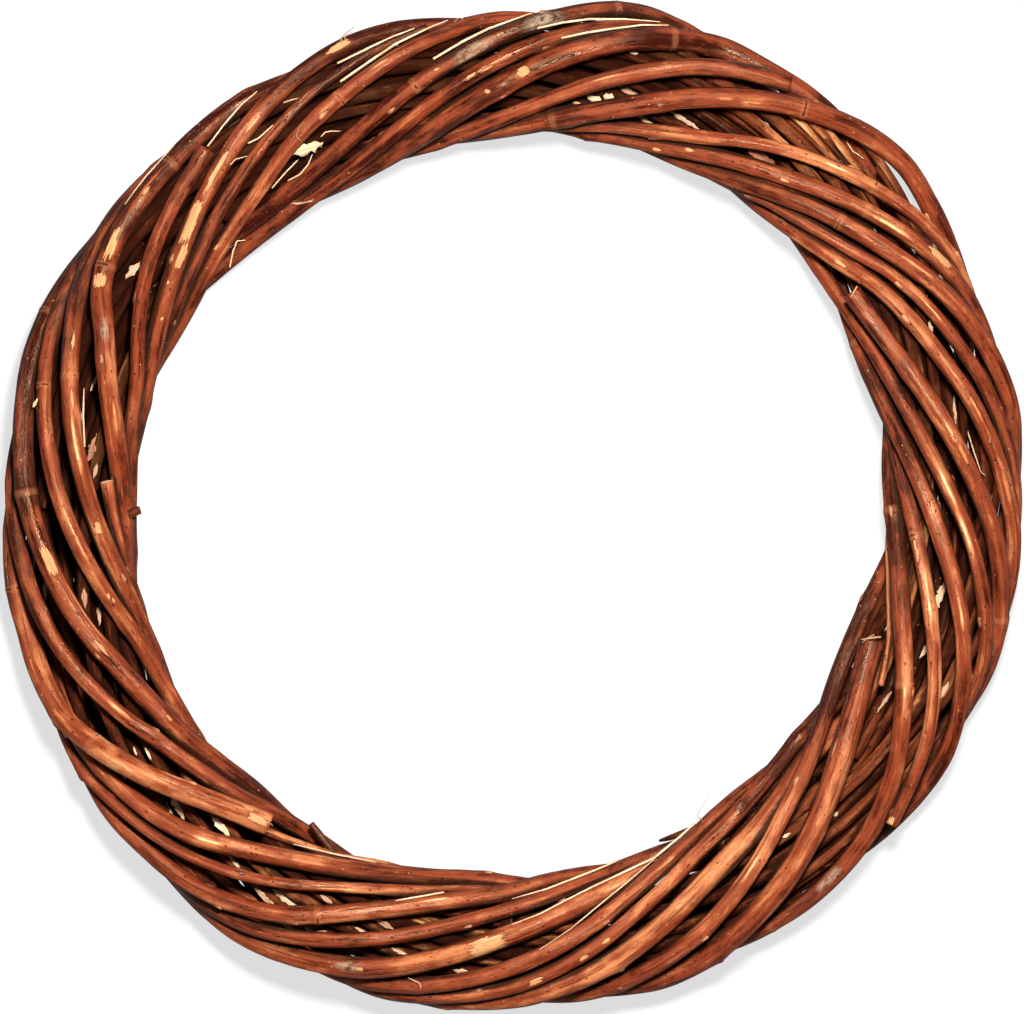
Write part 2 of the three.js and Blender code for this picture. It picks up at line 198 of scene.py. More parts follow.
def new_material(name):
    material = bpy.data.materials.new(name)
    material.use_nodes = True
    tree = material.node_tree
    return material, tree, tree.nodes["Principled BSDF"].inputs


def group_node(tree, group, inputs):
    return add(tree, "ShaderNodeGroup", inputs, node_tree=group).outputs


def bumps(shader, strength, distance, height):
    tree = tree_of(height)
    relief = {"Strength": strength, "Distance": distance, "Height": height}
    tree.links.new(output(tree, "ShaderNodeBump", relief), shader["Normal"])


def rod_skin(name, dark, warm, tan, shade_starts=0.04, shade_full=0.42, gloss=0.55):
    """Bark with bare spots, knot rings and painted shade, read from what is painted on the rod's
    skin.
    """
    material, tree, shader = new_material(name)
    at, tone, grey, bare, ring, sheltered = painted_on(
        tree, bark_place="Vector", tone="Fac", grey="Fac", bare="Fac", ring="Fac",
        sheltered="Fac")
    skin = group_node(tree, bark, {"Place": at, "Tone": tone, "Grey": grey, "Dark": dark,
                                   "Warm": warm, "Tan": tan})
    under = group_node(tree, wood, {"Place": at, "Light": colour(226, 166, 114),
                                    "Deep": colour(190, 120, 74)})
    ragged = noise_at(at, (0.9, 0.9, 0.35), 3.0, 0.6)
    # A knot leaves a thin crack part of the way round, with a little paler bark beside it
    part = noise_at(at, (0.28, 0.28, 0.02), 1.0)
    near = times(ragged, 0.24, sums("ADD", ring, -0.12))
    crack = times(eased(near, 0.89, 0.96), eased(part, 0.5, 0.58))
    look = mixed(eased(near, 0.5, 0.85, 0.0, 0.22), skin["Color"], colour(206, 130, 86))
    look = mixed(times(crack, 0.85), look, colour(44, 14, 9))
    # Where the bark is off, pale wood shows inside a dark torn rim
    torn = noise_at(at, (1.7, 1.7, 0.15), 3.0, 0.6)
    edge = sums("ADD", bare, times(torn, 1.4, -0.8))
    gone = eased(edge, 0.0, 0.06)
    rim = times(eased(edge, -0.16, 0.0), eased(edge, 0.02, 0.1, 1.0, 0.0))
    look = mixed(gone, look, under["Color"])
    look = mixed(times(rim, 0.75), look, colour(104, 44, 22))
    # Painted shade: the bark is darkened toward near black where other rods are close by, on its
    # flanks and in the gaps, and its polish dulls there
    shade = eased(sheltered, shade_starts, shade_full)
    look = mixed(times(shade, 0.92), look, colour(34, 8, 4))
    tree.links.new(look, shader["Base Color"])
    rough = output(tree, "ShaderNodeMix", {0: gone, 2: skin["Roughness"], 3: under["Roughness"]})
    tree.links.new(times(shade, 0.45, rough), shader["Roughness"])
    high = times(gone, -0.9, skin["Height"])
    bumps(shader, 0.7, 0.0006, times(crack, -0.8, high))
    shader["Specular IOR Level"].default_value = gloss
    shader["Specular Tint"].default_value = colour(255, 196, 154)
    return material


rod_bark = rod_skin("rod_bark", colour(56, 14, 7), colour(138, 59, 33), colour(200, 119, 74))


# The long rods.
# Nine whole willow shoots, wound round the ring and through its hole, so that each crosses the
# front one to five times. They hold each other by their spring, with no wire or glue.
RING_SIDE = 0.0085  # the sides of a solid's rings are shorter, and the steps between rings longer


def middle_line(node):
    """The run and thickness of a rod, from its solid's rings of corners, thick end first."""
    solid = bmesh.new()
    solid.from_mesh(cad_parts[node].data)
    bmesh.ops.remove_doubles(solid, verts=solid.verts, dist=0.00002)
    solid.verts.ensure_lookup_table()
    ring_of = [-1] * len(solid.verts)
    rings = []
    for start in solid.verts:
        if ring_of[start.index] >= 0:
            continue
        ring = []
        open_ends = [start]
        ring_of[start.index] = len(rings)
        while open_ends:
            corner = open_ends.pop()
            ring.append(corner)
            for edge in corner.link_edges:
                other = edge.other_vert(corner)
                if ring_of[other.index] < 0 and edge.calc_length() < RING_SIDE:
                    ring_of[other.index] = len(rings)
                    open_ends.append(other)
        rings.append(ring)
    beside = [set() for _ in rings]
    for edge in solid.edges:
        first, second = (ring_of[corner.index] for corner in edge.verts)
        if first != second:
            beside[first].add(second)
            beside[second].add(first)
    order = [next(n for n, near in enumerate(beside) if len(near) == 1)]
    while len(order) < len(rings):
        order.append(next(n for n in beside[order[-1]] if n not in order[-2:]))
    points = []
    radii = []
    for ring in (rings[number] for number in order):
        middle = sum((corner.co for corner in ring), Vector()) / len(ring)
        points.append(middle)
        radii.append(sum((corner.co - middle).length for corner in ring) / len(ring))
    solid.free()
    if radii[0] < radii[-1]:
        points.reverse()
        radii.reverse()
    return points, radii


# The tree that grows a rod's skin along its middle line: a round tube, a little oval and uneven,
# with fine ridges along it and a swelling at each knot, most on the side its bud sat on
SEED_APART = 1700.0  # how far apart in the bark's pattern one seed is from the next, in mm
rod_tree, give, take = recipe(
    "GeometryNodeTree", "wound_rod",
    {"Line": "Geometry", "Step": "Float", "Sides": "Int", "Unevenness": "Float",
     "Ridge Height": "Float", "Knot Spacing mm": "Float", "Knot Height": "Float", "Seed": "Float",
     "Bark": "Material"}, {"Skin": "Geometry"})
line = output(rod_tree, "GeometryNodeMeshToCurve", {"Mesh": give["Line"]})
line = output(rod_tree, "GeometryNodeCurveSplineType", {"Curve": line}, spline_type="CATMULL_ROM")
line = output(rod_tree, "GeometryNodeResampleCurve", {"Curve": line, "Length": give["Step"]},
              mode="LENGTH")
run = add(rod_tree, "GeometryNodeSplineParameter").outputs
radius = output(rod_tree, "GeometryNodeInputRadius")
marked = add(rod_tree, "GeometryNodeCaptureAttribute", {"Geometry": line})
for label, value in (("along", run["Length"]), ("thick", radius)):
    marked.capture_items.new("FLOAT", label)
    rod_tree.links.new(value, marked.inputs[label])
circle = output(rod_tree, "GeometryNodeCurvePrimitiveCircle",
                {"Resolution": give["Sides"], "Radius": 1.0})
round_it = add(rod_tree, "GeometryNodeCaptureAttribute", {"Geometry": circle})
round_it.capture_items.new("FLOAT", "around")
rod_tree.links.new(add(rod_tree, "GeometryNodeSplineParameter").outputs["Factor"],
                   round_it.inputs["around"])
skin = output(rod_tree, "GeometryNodeCurveToMesh", {
    "Curve": marked.outputs["Geometry"], "Profile Curve": round_it.outputs["Geometry"],
    "Scale": radius})
turn = times(round_it.outputs["around"], 2 * math.pi)
thick_mm = times(marked.outputs["thick"], 1000.0)
along_mm = times(marked.outputs["along"], 1000.0)
shifted = times(give["Seed"], SEED_APART, along_mm)
place = output(rod_tree, "ShaderNodeCombineXYZ", {
    0: times(thick_mm, sums("COSINE", turn)),
    1: times(thick_mm, sums("SINE", turn)), 2: shifted})
skin = output(rod_tree, "GeometryNodeStoreNamedAttribute", {
    "Geometry": skin, "Name": "bark_place", "Value": place},
    data_type="FLOAT_VECTOR", domain="POINT")
# Knots: the nearest one along the rod, and the side that its bud sat on
steps = sums("DIVIDE", shifted, give["Knot Spacing mm"])
number = sums("FLOOR", steps)
jitter, lot = (
    add(rod_tree, "ShaderNodeTexWhiteNoise", {"W": seed}, noise_dimensions="1D").outputs["Value"]
    for seed in (number, sums("ADD", number, 0.37)))
knot_at = times(jitter, 0.6, sums("ADD", number, 0.2))
off = times(sums("SUBTRACT", steps, knot_at), give["Knot Spacing mm"])
near = eased(sums("ABSOLUTE", off), 0.0, 5.0, 1.0, 0.0)
bud_turn = times(lot, 2 * math.pi)
facing = sums("COSINE", sums("SUBTRACT", turn, bud_turn))
side = sums("POWER", eased(facing, -0.6, 1.0), 2.0)
swell = times(near, times(side, 0.75, 0.25))
skin = output(rod_tree, "GeometryNodeStoreNamedAttribute", {
    "Geometry": skin, "Name": "knot", "Value": swell}, data_type="FLOAT", domain="POINT")
# Height of the skin over the plain tube
oval = sums("SUBTRACT", noise_at(place, (0.18, 0.18, 0.03), 2.0), 0.5)
ridges = eased(noise_at(place, (0.6, 0.6, 0.025), 2.0, 0.5), 0.36, 0.64, -0.5, 0.5)
lift = times(times(oval, give["Unevenness"]), marked.outputs["thick"])
lift = times(ridges, give["Ridge Height"], lift)
lift = times(swell, give["Knot Height"], lift)
outwards = output(rod_tree, "GeometryNodeInputNormal")
push = output(rod_tree, "ShaderNodeVectorMath", {0: outwards, "Scale": lift}, operation="SCALE")
skin = output(rod_tree, "GeometryNodeSetPosition", {"Geometry": skin, "Offset": push})


def finish_tree(tree, shape, material, take):
    """Ends a tree with a smooth plain shape in its material."""
    shape = output(tree, "GeometryNodeSetShadeSmooth", {"Geometry": shape})
    shape = output(tree, "GeometryNodeRealizeInstances", {"Geometry": shape})
    shape = output(tree, "GeometryNodeSetMaterial", {"Geometry": shape, "Material": material})
    tree.links.new(shape, take[0])


finish_tree(rod_tree, skin, give["Bark"], take)

# The whole band, to find how near the next rod is to a point of the bark
band_corners, band_faces = [], []
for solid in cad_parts.values():
    first = len(band_corners)
    band_corners += [corner.co.copy() for corner in solid.data.vertices]
    band_faces += [[first + n for n in face.vertices] for face in solid.data.polygons]
band = BVHTree.FromPolygons(band_corners, band_faces)
REACH = 0.009  # rods further off than this add no painted shade
OFF_BARK = 0.0006  # rays start here, outside the rod's own flat-sided solid


def shelter(at, facing):
    """How much of what a point of the bark faces is other rods close by, from 0 to 1. It is painted
    on as shade.
    """
    across = facing.orthogonal().normalized()
    beside = facing.cross(across)
    start = at + facing * OFF_BARK
    shades = 0.0
    for way in (facing, facing * 0.6 + across * 0.8, facing * 0.6 - across * 0.8,
                facing * 0.6 + beside * 0.8, facing * 0.6 - beside * 0.8):
        gap = band.ray_cast(start, way, REACH)[3]
        if gap is not None and gap > 0.0003:
            shades += 1 - gap / REACH
    return shades / 5


def made_by(tree, thing, inputs):
    """Runs a tree on an object, and keeps the result as a plain mesh."""
    modifier = thing.modifiers.new(tree.name, "NODES")
    modifier.node_group = tree
    for item in tree.interface.items_tree:
        if item.item_type == "SOCKET" and item.in_out == "INPUT" and item.name in inputs:
            modifier[item.identifier] = inputs[item.name]
    ready = thing.evaluated_get(bpy.context.evaluated_depsgraph_get())
    mesh = bpy.data.meshes.new_from_object(ready)
    thing.modifiers.remove(modifier)
    thing.data = mesh
    mesh.name = thing.name


def in_scene(name, data):
    thing = bpy.data.objects.new(name, data)
    bpy.context.scene.collection.objects.link(thing)
    return thing


def paint(mesh, name, values, kind="FLOAT"):
    """Stores a number, or three, for each corner of a mesh."""
    field = mesh.attributes.new(name, kind, "POINT").data
    field.foreach_set("value" if kind == "FLOAT" else "vector",
                      np.array(values, np.float32).ravel())


def line_object(name, points, joined, **fields):
    """Bare lines through points, with what is painted on them."""
    mesh = bpy.data.meshes.new(name)
    mesh.from_pydata([tuple(point) for point in points], joined, [])
    for field, values in fields.items():
        paint(mesh, field, values)
    return in_scene(name, mesh)


def read(items, field, width=3):
    """One row of numbers for each corner of a mesh."""
    flat = np.zeros(len(items) * width, np.float32)
    items.foreach_get(field, flat)
    return flat.reshape(-1, width)


def outward(mesh):
    return read(mesh.vertex_normals, "vector")


RING_MIDDLE = Vector((-0.000211, -0.000425, 0))


def on_front(angle, distance):
    turn = math.radians(angle)
    return RING_MIDDLE + Vector((distance * math.sin(turn), distance * math.cos(turn), 0)) / 1000


FRONT_FROM = 0.0182  # a rod that is higher than this passes over the front
SHORTEST_PASS = 20  # mm
ABOVE_TABLE = 0.00005


class Skin:
    """A finished rod, and what is painted on it. Lengths along and round it are mm."""

    def __init__(self, rod, seed, sides, points):
        mesh = rod.data
        self.rod, self.seed, self.sides = rod, seed, sides
        self.at = read(mesh.vertices, "co")
        x, y, z = read(mesh.attributes["bark_place"].data, "vector").T
        self.along, self.turn, self.reach = z - SEED_APART * seed, np.arctan2(y, x), np.hypot(x, y)
        self.passes = self.front_middles(points)
        count = len(mesh.vertices)
        ways = outward(mesh)
        # Painted shade where other rods are close by
        shaded = np.array([shelter(Vector(spot), Vector(way)) for spot, way in zip(self.at, ways)])
        # Painted shade on the flanks of a rod, which face sideways, so they are darker than its
        # front and back
        shaded += 0.4 * np.clip(0.6 - np.abs(ways[:, 2]), 0, 0.6)
        self.painted = {"tone": np.full(count, 0.5), "grey": np.zeros(count),
                        "bare": np.full(count, -1.0), "ring": np.zeros(count), "sheltered": shaded}
        place = self.at * 1000 - np.array(RING_MIDDLE) * 1000
        self.angle = np.degrees(np.arctan2(place[:, 0], place[:, 1])) % 360
        self.distance = np.hypot(place[:, 0], place[:, 1])

    def front_middles(self, points):
        """How far along the rod it is in the middle of each of its passes over the front."""
        runs, gone, above = [], 0.0, False
        for before, after in zip(points, points[1:] + points[-1:]):
            if before.z > FRONT_FROM:
                if not above:
                    runs.append([])
                runs[-1].append(gone)
            above = before.z > FRONT_FROM
            gone += 1000 * (after - before).length
        return [(run[0] + run[-1]) / 2 for run in runs if run[-1] - run[0] > SHORTEST_PASS]

    def nearest(self, angle, distance):
        """The skin's corner that shows at a place on the front: the highest of the close ones."""
        spot = on_front(angle, distance)
        off = np.hypot(self.at[:, 0] - spot.x, self.at[:, 1] - spot.y)
        near = np.flatnonzero(off < max(0.0012, off.min() + 0.0002))
        return near[np.argmax(self.at[near, 2])]

    def patch(self, angle, distance, length, width):
        """How far inside a long patch each corner lies: 1 in the middle and 0 on the rim."""
        middle = self.nearest(angle, distance)
        turned = (self.turn - self.turn[middle] + math.pi) % (2 * math.pi) - math.pi
        ahead = (self.along - self.along[middle]) / (length / 2)
        across = turned * self.reach / (width / 2)
        return np.maximum(1 - (np.abs(ahead) ** 3 + np.abs(across) ** 3) ** (1 / 3), -1)

    def knot_ring(self, angle, distance):
        """How near each corner lies to a knot that rings the rod: 1 on it, and 0 at 3 mm."""
        ahead = self.along - self.along[self.nearest(angle, distance)]
        return np.maximum(1 - np.abs(ahead) / 3.0, 0)

    def add_to(self, name, values):
        self.painted[name] = np.maximum(self.painted[name], values)

    def push(self, amount):
        """Moves the skin outwards, in mm."""
        self.at += outward(self.rod.data) * np.asarray(amount, np.float32)[:, None] / 1000

    def finish(self):
        mesh = self.rod.data
        self.at[:, 2] = np.maximum(self.at[:, 2], ABOVE_TABLE)
        mesh.vertices.foreach_set("co", self.at.ravel())
        for name, values in self.painted.items():
            paint(mesh, name, values)


def grow(line, bark, cut, seed, step, sides, uneven, ridges, knots=50.0, knot_height=0.0):
    """Turns a bare line into the closed skin of a rod, with a knot every so many mm."""
    made_by(rod_tree, line, {
        "Step": step, "Sides": sides, "Unevenness": uneven, "Ridge Height": ridges,
        "Knot Spacing mm": knots, "Knot Height": knot_height, "Seed": seed, "Bark": bark})
    close_ends(line.data)
    line.data.materials.append(cut)


KNOTS_APART = 46.0  # mm, on the long rods
UNEVENNESS = 0.22  # how far a rod's skin swings in and out, as a share of its radius


def skin_of_rod(name, line, seed, bark, step=0.001, sides=26, ridges=0.00035, knots=KNOTS_APART,
                knot_height=0.00035):
    points, radii = line
    rod = line_object(name, points, [(n, n + 1) for n in range(len(points) - 1)], radius=radii)
    grow(rod, bark, end_wood, seed, step, sides, UNEVENNESS, ridges, knots, knot_height)
    return Skin(rod, seed, sides, points)


def close_ends(mesh):
    """Closes both ends of a rod with a slightly ragged cut, in rings from the rim to the pith."""
    shape = bmesh.new()
    shape.from_mesh(mesh)
    at = shape.verts.layers.float_vector["bark_place"]
    rims = [edge for edge in shape.edges if edge.is_boundary]
    loops = []
    while rims:
        loop = [rims.pop()]
        while beside := [edge for edge in rims if set(edge.verts) & set(loop[-1].verts)]:
            loop.append(beside[0])
            rims.remove(beside[0])
        loops.append(loop)
    for loop in loops:
        ring = [next(corner for corner in first.verts if corner in second.verts)
                for first, second in zip(loop, loop[1:] + loop[:1])]
        middle = sum((corner.co for corner in ring), Vector()) / len(ring)
        straight = sum((corner[at] for corner in ring), Vector()) / len(ring)
        last = 1.0
        for share in (0.82, 0.5, 0.2):
            inner = []
            for corner in ring:
                fresh = shape.verts.new(middle.lerp(corner.co, share / last))
                fresh[at] = straight.lerp(corner[at], share / last)
                inner.append(fresh)
            for n, corner in enumerate(ring):
                after = (n + 1) % len(ring)
                shape.faces.new((corner, ring[after], inner[after], inner[n])).material_index = 1
            ring = inner
            last = share
        heart = shape.verts.new(middle)
        heart[at] = straight
        for n, corner in enumerate(ring):
            shape.faces.new((corner, ring[(n + 1) % len(ring)], heart)).material_index = 1
    bmesh.ops.recalc_face_normals(shape, faces=shape.faces)
    shape.to_mesh(mesh)
    shape.free()


# Cut ends: pale wood with a brown pith
end_wood, tree, shader = new_material("cut_end")
at = painted_on(tree, bark_place="Vector")[0]
parts = add(tree, "ShaderNodeSeparateXYZ", {0: at}).outputs
out = sums("SQRT", sums("ADD", *(sums("POWER", part, 2.0) for part in parts[:2])))
grain = group_node(tree, wood, {
    "Place": at, "Light": colour(232, 190, 132), "Deep": colour(190, 120, 66)})
look = mixed(eased(out, 0.45, 0.8, 0.85, 0.0), grain["Color"], colour(96, 50, 26))
tree.links.new(look, shader["Base Color"])
shader["Roughness"].default_value = 0.75

# How light the bark is in each pass over the front, from the thick end of the rod to the thin one
PASS_TONES = {
    "rod_1": (0.6, 0.45, 0.55, 0.6), "rod_2": (0.6, 0.7), "rod_3": (0.75, 0.55, 0.6, 0.6, 0.55),
    "rod_4": (0.55, 0.55, 0.65, 0.5), "rod_5": (0.6, 0.6, 0.6, 0.55, 0.6),
    "rod_6": (0.35, 0.55, 0.6, 0.45, 0.68), "rod_7": (0.75, 0.4, 0.6, 0.5, 0.5),
    "rod_8": (0.65, 0.55, 0.7, 0.55, 0.35), "rod_9": (0.6,)}
# Where all bark is painted darker, as shade on those parts of the ring: angle, distance, reach in
# degrees and mm, and how much
SHADED_PATCHES = (
    (315, 150, 60, 16, -0.42), (347, 153, 14, 9, -0.45), (107, 112, 38, 14, -0.4),
    (188, 137, 45, 12, -0.12), (72, 122, 20, 8, -0.2), (12, 122, 16, 8, -0.15),
    (124, 108, 20, 8, -0.3), (126, 150, 20, 8, -0.3), (38, 126, 50, 9, -0.18))
# Where the bark has come off: angle, distance, length and width. Some of the narrow lines are
# painted highlights, pale wood standing in for shine along the rod
PEELED = {
    "rod_1": ((263.7, 138.8, 11, 3.6), (251, 129.6, 9, 1), (127, 119.5, 9, 1),
              (148, 127.6, 8, 0.9)),
    "rod_2": ((257.5, 122.7, 2.2, 1.3), (256.8, 121.6, 1.8, 1), (266, 127.5, 10, 0.9)),
    "rod_3": ((266.7, 123.6, 5, 2.2), (177.2, 143.1, 5, 2.6), (170.8, 137.9, 3.6, 1.5),
              (59.8, 149.7, 10, 3), (51.6, 138.7, 2.4, 1.3), (284, 134.9, 9, 0.8),
              (291, 139.8, 6, 1)),
    "rod_4": ((299, 141.6, 5, 4.4), (303.5, 144.6, 12, 2.1), (303, 141.5, 8, 1.3)),
    "rod_5": ((80, 132.4, 8, 1), (219, 144, 4, 1.2)),
    "rod_6": ((130.5, 147.3, 6, 3.4), (354.2, 129.6, 4, 1.4), (357, 130.9, 5, 0.7),
              (96, 122.6, 9, 1.3), (350, 132.6, 2.4, 1)),
    "rod_7": ((1.4, 130, 4.4, 3.6), (356.5, 123.6, 2.6, 1.7), (218.6, 120.8, 7, 3),
              (221.5, 118.6, 5, 1)),
    "rod_8": ((183.1, 130.8, 12, 7.2), (307, 123.4, 9, 2.5), (311.5, 127.8, 16, 4.2),
              (319, 134.1, 15, 1.9), (326, 138.3, 9, 1.2), (339.6, 148.2, 9, 2.4),
              (53, 122.6, 4.6, 1.6), (298, 118.5, 1.6, 1.2), (303, 123.9, 1.4, 1)),
}
# Where a silvery film is left on the bark
FILMED = {
    "rod_6": ((4, 146.1, 14, 6.5), (355.5, 136.1, 15, 6)),
    "rod_7": ((140, 146.4, 12, 4),),
    "rod_4": ((293.5, 133.5, 8, 3),),
    "rod_8": ((200, 146.3, 10, 4),),
}
# Knots that ring the rod
RINGED = {
    "rod_1": ((271.9, 146.4), (293, 152.1), (5.7, 115.5), (36.2, 150)),
    "rod_2": ((284.8, 145.8), (49, 145)),
    "rod_3": ((50.5, 136.5), (286.8, 136.5)),
    "rod_4": ((315.7, 144.6), (48.7, 129.9), (300.8, 143.1)),
    "rod_5": ((205.3, 137.1), (103.6, 150.4), (336.6, 137.5)),
    "rod_6": ((12.3, 153.9), (93.7, 120.9), (64, 114), (346.5, 129.5)),
    "rod_7": ((19.2, 150.3), (148.6, 147), (90, 113.7), (260.3, 151.8), (241, 146.1), (114, 131)),
    "rod_8": ((157, 115.2),),
}
# Painted highlights: pale streaks along the rods, on whichever rod shows there: angle, distance,
# length and width
PAINTED_HIGHLIGHTS = (
    (53.8, 141.6, 18, 1.5), (59.5, 142.5, 14, 0.9), (64.8, 139.8, 10, 1), (72.3, 138.6, 13, 1.2),
    (78.3, 143.1, 10, 1), (83.8, 136.5, 9, 1.1), (87, 131, 16, 1.1), (93, 136.8, 20, 1.5),
    (103, 138.3, 15, 1), (102, 127.5, 18, 0.8), (116, 131, 9, 1), (222.5, 135.3, 13, 1.3),
    (207, 117.5, 14, 1), (205, 125.8, 16, 0.8), (242.5, 131.5, 12, 1.4), (255.5, 130.5, 26, 1.1),
    (265.5, 130, 20, 1), (279, 131.8, 24, 1), (283, 121.5, 14, 0.9), (31, 140, 9, 1),
    (28, 137.5, 6, 1.2), (12, 132, 10, 0.8), (8, 142.5, 9, 0.9), (44, 141, 9, 1),
    (326.5, 139.3, 9, 1.3), (312, 147.2, 16, 0.7), (317, 132.5, 8, 1), (343, 139.5, 8, 1.2),
    (147, 129.5, 12, 0.9), (156, 116.5, 9, 0.8), (164, 118.5, 12, 0.8), (191, 119, 10, 0.8),
    (232, 129, 12, 1), (296, 130.5, 9, 0.8))
skins = {node: skin_of_rod(node + "_skin", middle_line(node), float(number), rod_bark)
         for number, node in enumerate(PASS_TONES, 1)}


def shown_at(angle, distance):
    """The long rod that shows at a place on the front."""
    spot = on_front(angle, distance)

    def height(skin):
        corner = skin.nearest(angle, distance)
        off = math.hypot(skin.at[corner, 0] - spot.x, skin.at[corner, 1] - spot.y)
        return skin.at[corner, 2] if off < 0.0014 else -off
    return max(skins.values(), key=height)


# Painted highlights: the bark's tone is raised along each streak
for spot in PAINTED_HIGHLIGHTS:
    skin = shown_at(*spot[:2])
    skin.painted["tone"] += 1.3 * np.clip(skin.patch(*spot), 0, 0.6)
for node, tones in PASS_TONES.items():
    skin = skins[node]
    skin.painted["tone"] += np.interp(skin.along, skin.passes, tones) * 1.5 - 0.78
    # Painted shade at the places listed above
    for angle, distance, turn, reach, change in SHADED_PATCHES:
        off = np.hypot(((skin.angle - angle + 180) % 360 - 180) / turn,
                       (skin.distance - distance) / reach)
        skin.painted["tone"] += change * np.clip(1.2 - off, 0, 1)
    # Painted shade: darker where the band turns down to the table, most of all round the hole
    skin.painted["tone"] -= 0.16 * np.clip((skin.distance - 140) / 6, 0, 1)
    skin.painted["tone"] -= 0.24 * np.clip((121 - skin.distance) / 8, 0, 1)
    for name, places, steep in (("bare", PEELED, 1), ("grey", FILMED, 2.2)):
        for spot in places.get(node, ()):
            skin.add_to(name, np.minimum(steep * skin.patch(*spot), 1))
    for spot in RINGED.get(node, ()):
        skin.add_to("ring", skin.knot_ring(*spot))
    skin.push(0.2 * skin.painted["ring"] ** 2 - 0.22 * np.clip(4 * skin.painted["bare"], 0, 1))
    skin.finish()
    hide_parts(node)
    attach(skin.rod, "root")

# The core.
# Twelve hoops of thinner rods inside the band, which the long rods are wound on. They twist the
# other way, and show as brown strands in the dark gaps between the long rods.
core_bark = rod_skin("core_bark", colour(34, 10, 6), colour(116, 54, 29), colour(196, 122, 74),
                     shade_starts=0.16, shade_full=0.6, gloss=0.12)
# How light the bark of each hoop is. The last four, in the heart of the band, are painted darker as
# shade deep in the band.
CORE_TONES = (0.6, 0.3, 0.5, 0.2, 0.5, 0.65, 0.3, 0.4, 0.0, 0.1, -0.05, 0.05)
# How far light gets in between the long rods, at angles round the ring. Where less gets in, the
# hoops and slivers are painted darker as shade.
OPEN = ((0, 20, 30, 46, 58, 80, 100, 130, 150, 175, 210, 235, 262, 290, 330, 350),
        (0.2, 0.45, 0.9, 0.85, 0.4, 0.35, 0.5, 0.65, 0.65, 0.75, 0.75, 0.55, 0.25, 0.15, 0.0, 0.05))


def painted_gap_shade(angle):
    return 0.48 * (1 - np.interp(angle, *OPEN, period=360))


for number, tone in enumerate(CORE_TONES, 1):
    node = f"core_rod_{number}"
    skin = skin_of_rod(node + "_skin", middle_line(node), 20.0 + number, core_bark, step=0.002,
                       sides=14, knots=38.0)
    skin.painted["tone"] = tone + 0.25 * np.sin(skin.along / 37 + 2 * number)
    # Painted shade, deeper where less light gets in between the long rods
    skin.painted["sheltered"] += painted_gap_shade(skin.angle)
    skin.finish()
    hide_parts(node)
    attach(skin.rod, "root")
    skins[node] = skin

# The side shoots.
# Two thin, paler shoots that grew from the sides of thicker ones, tucked under the long rods at
# the front.
SHOOT_TONES = (1.0, 0.65)
for number, tone in enumerate(SHOOT_TONES, 1):
    node = f"shoot_{number}"
    skin = skin_of_rod(node + "_skin", middle_line(node), 40.0 + number, rod_bark, sides=14,
                       knots=24.0, knot_height=0.0002, ridges=0.0002)
    skin.painted["tone"][:] = tone
    skin.finish()
    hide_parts(node)
    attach(skin.rod, "root")
    skins[node] = skin

# The torn bark in the gaps.
# Flakes of bark and of the pale bast under it, which came off while the rods were wound and stayed
# caught between them. They lie mostly along the hoops of the core, curled and ragged.
bast, tree, shader = new_material("torn_bast")
at, tone = painted_on(tree, bark_place="Vector", tone="Fac")
tone = sums("POWER", tone, 1.8)
look = group_node(tree, wood, {
    "Place": at, "Light": mixed(tone, colour(176, 98, 54), colour(250, 228, 192)),
    "Deep": mixed(tone, colour(84, 36, 18), colour(214, 160, 108))})
spots = noise_at(at, (1.1, 1.1, 0.7), 4.0, 0.7)
spotted = mixed(eased(spots, 0.58, 0.68, 0.0, 0.7), look["Color"], colour(92, 42, 22))
tree.links.new(spotted, shader["Base Color"])
tree.links.new(look["Roughness"], shader["Roughness"])
bumps(shader, 0.8, 0.0003, look["Height"])

ready = bpy.context.evaluated_depsgraph_get()
surfaces = {node: BVHTree.FromObject(skin.rod, ready) for node, skin in skins.items()}


def top_at(x, y, nodes):
    """How high the highest of these rods is at a place, in metres, or nothing."""
    down = (surfaces[node].ray_cast(Vector((x, y, 0.06)), Vector((0, 0, -1)))[0] for node in nodes)
    return max((hit.z for hit in down if hit), default=None)


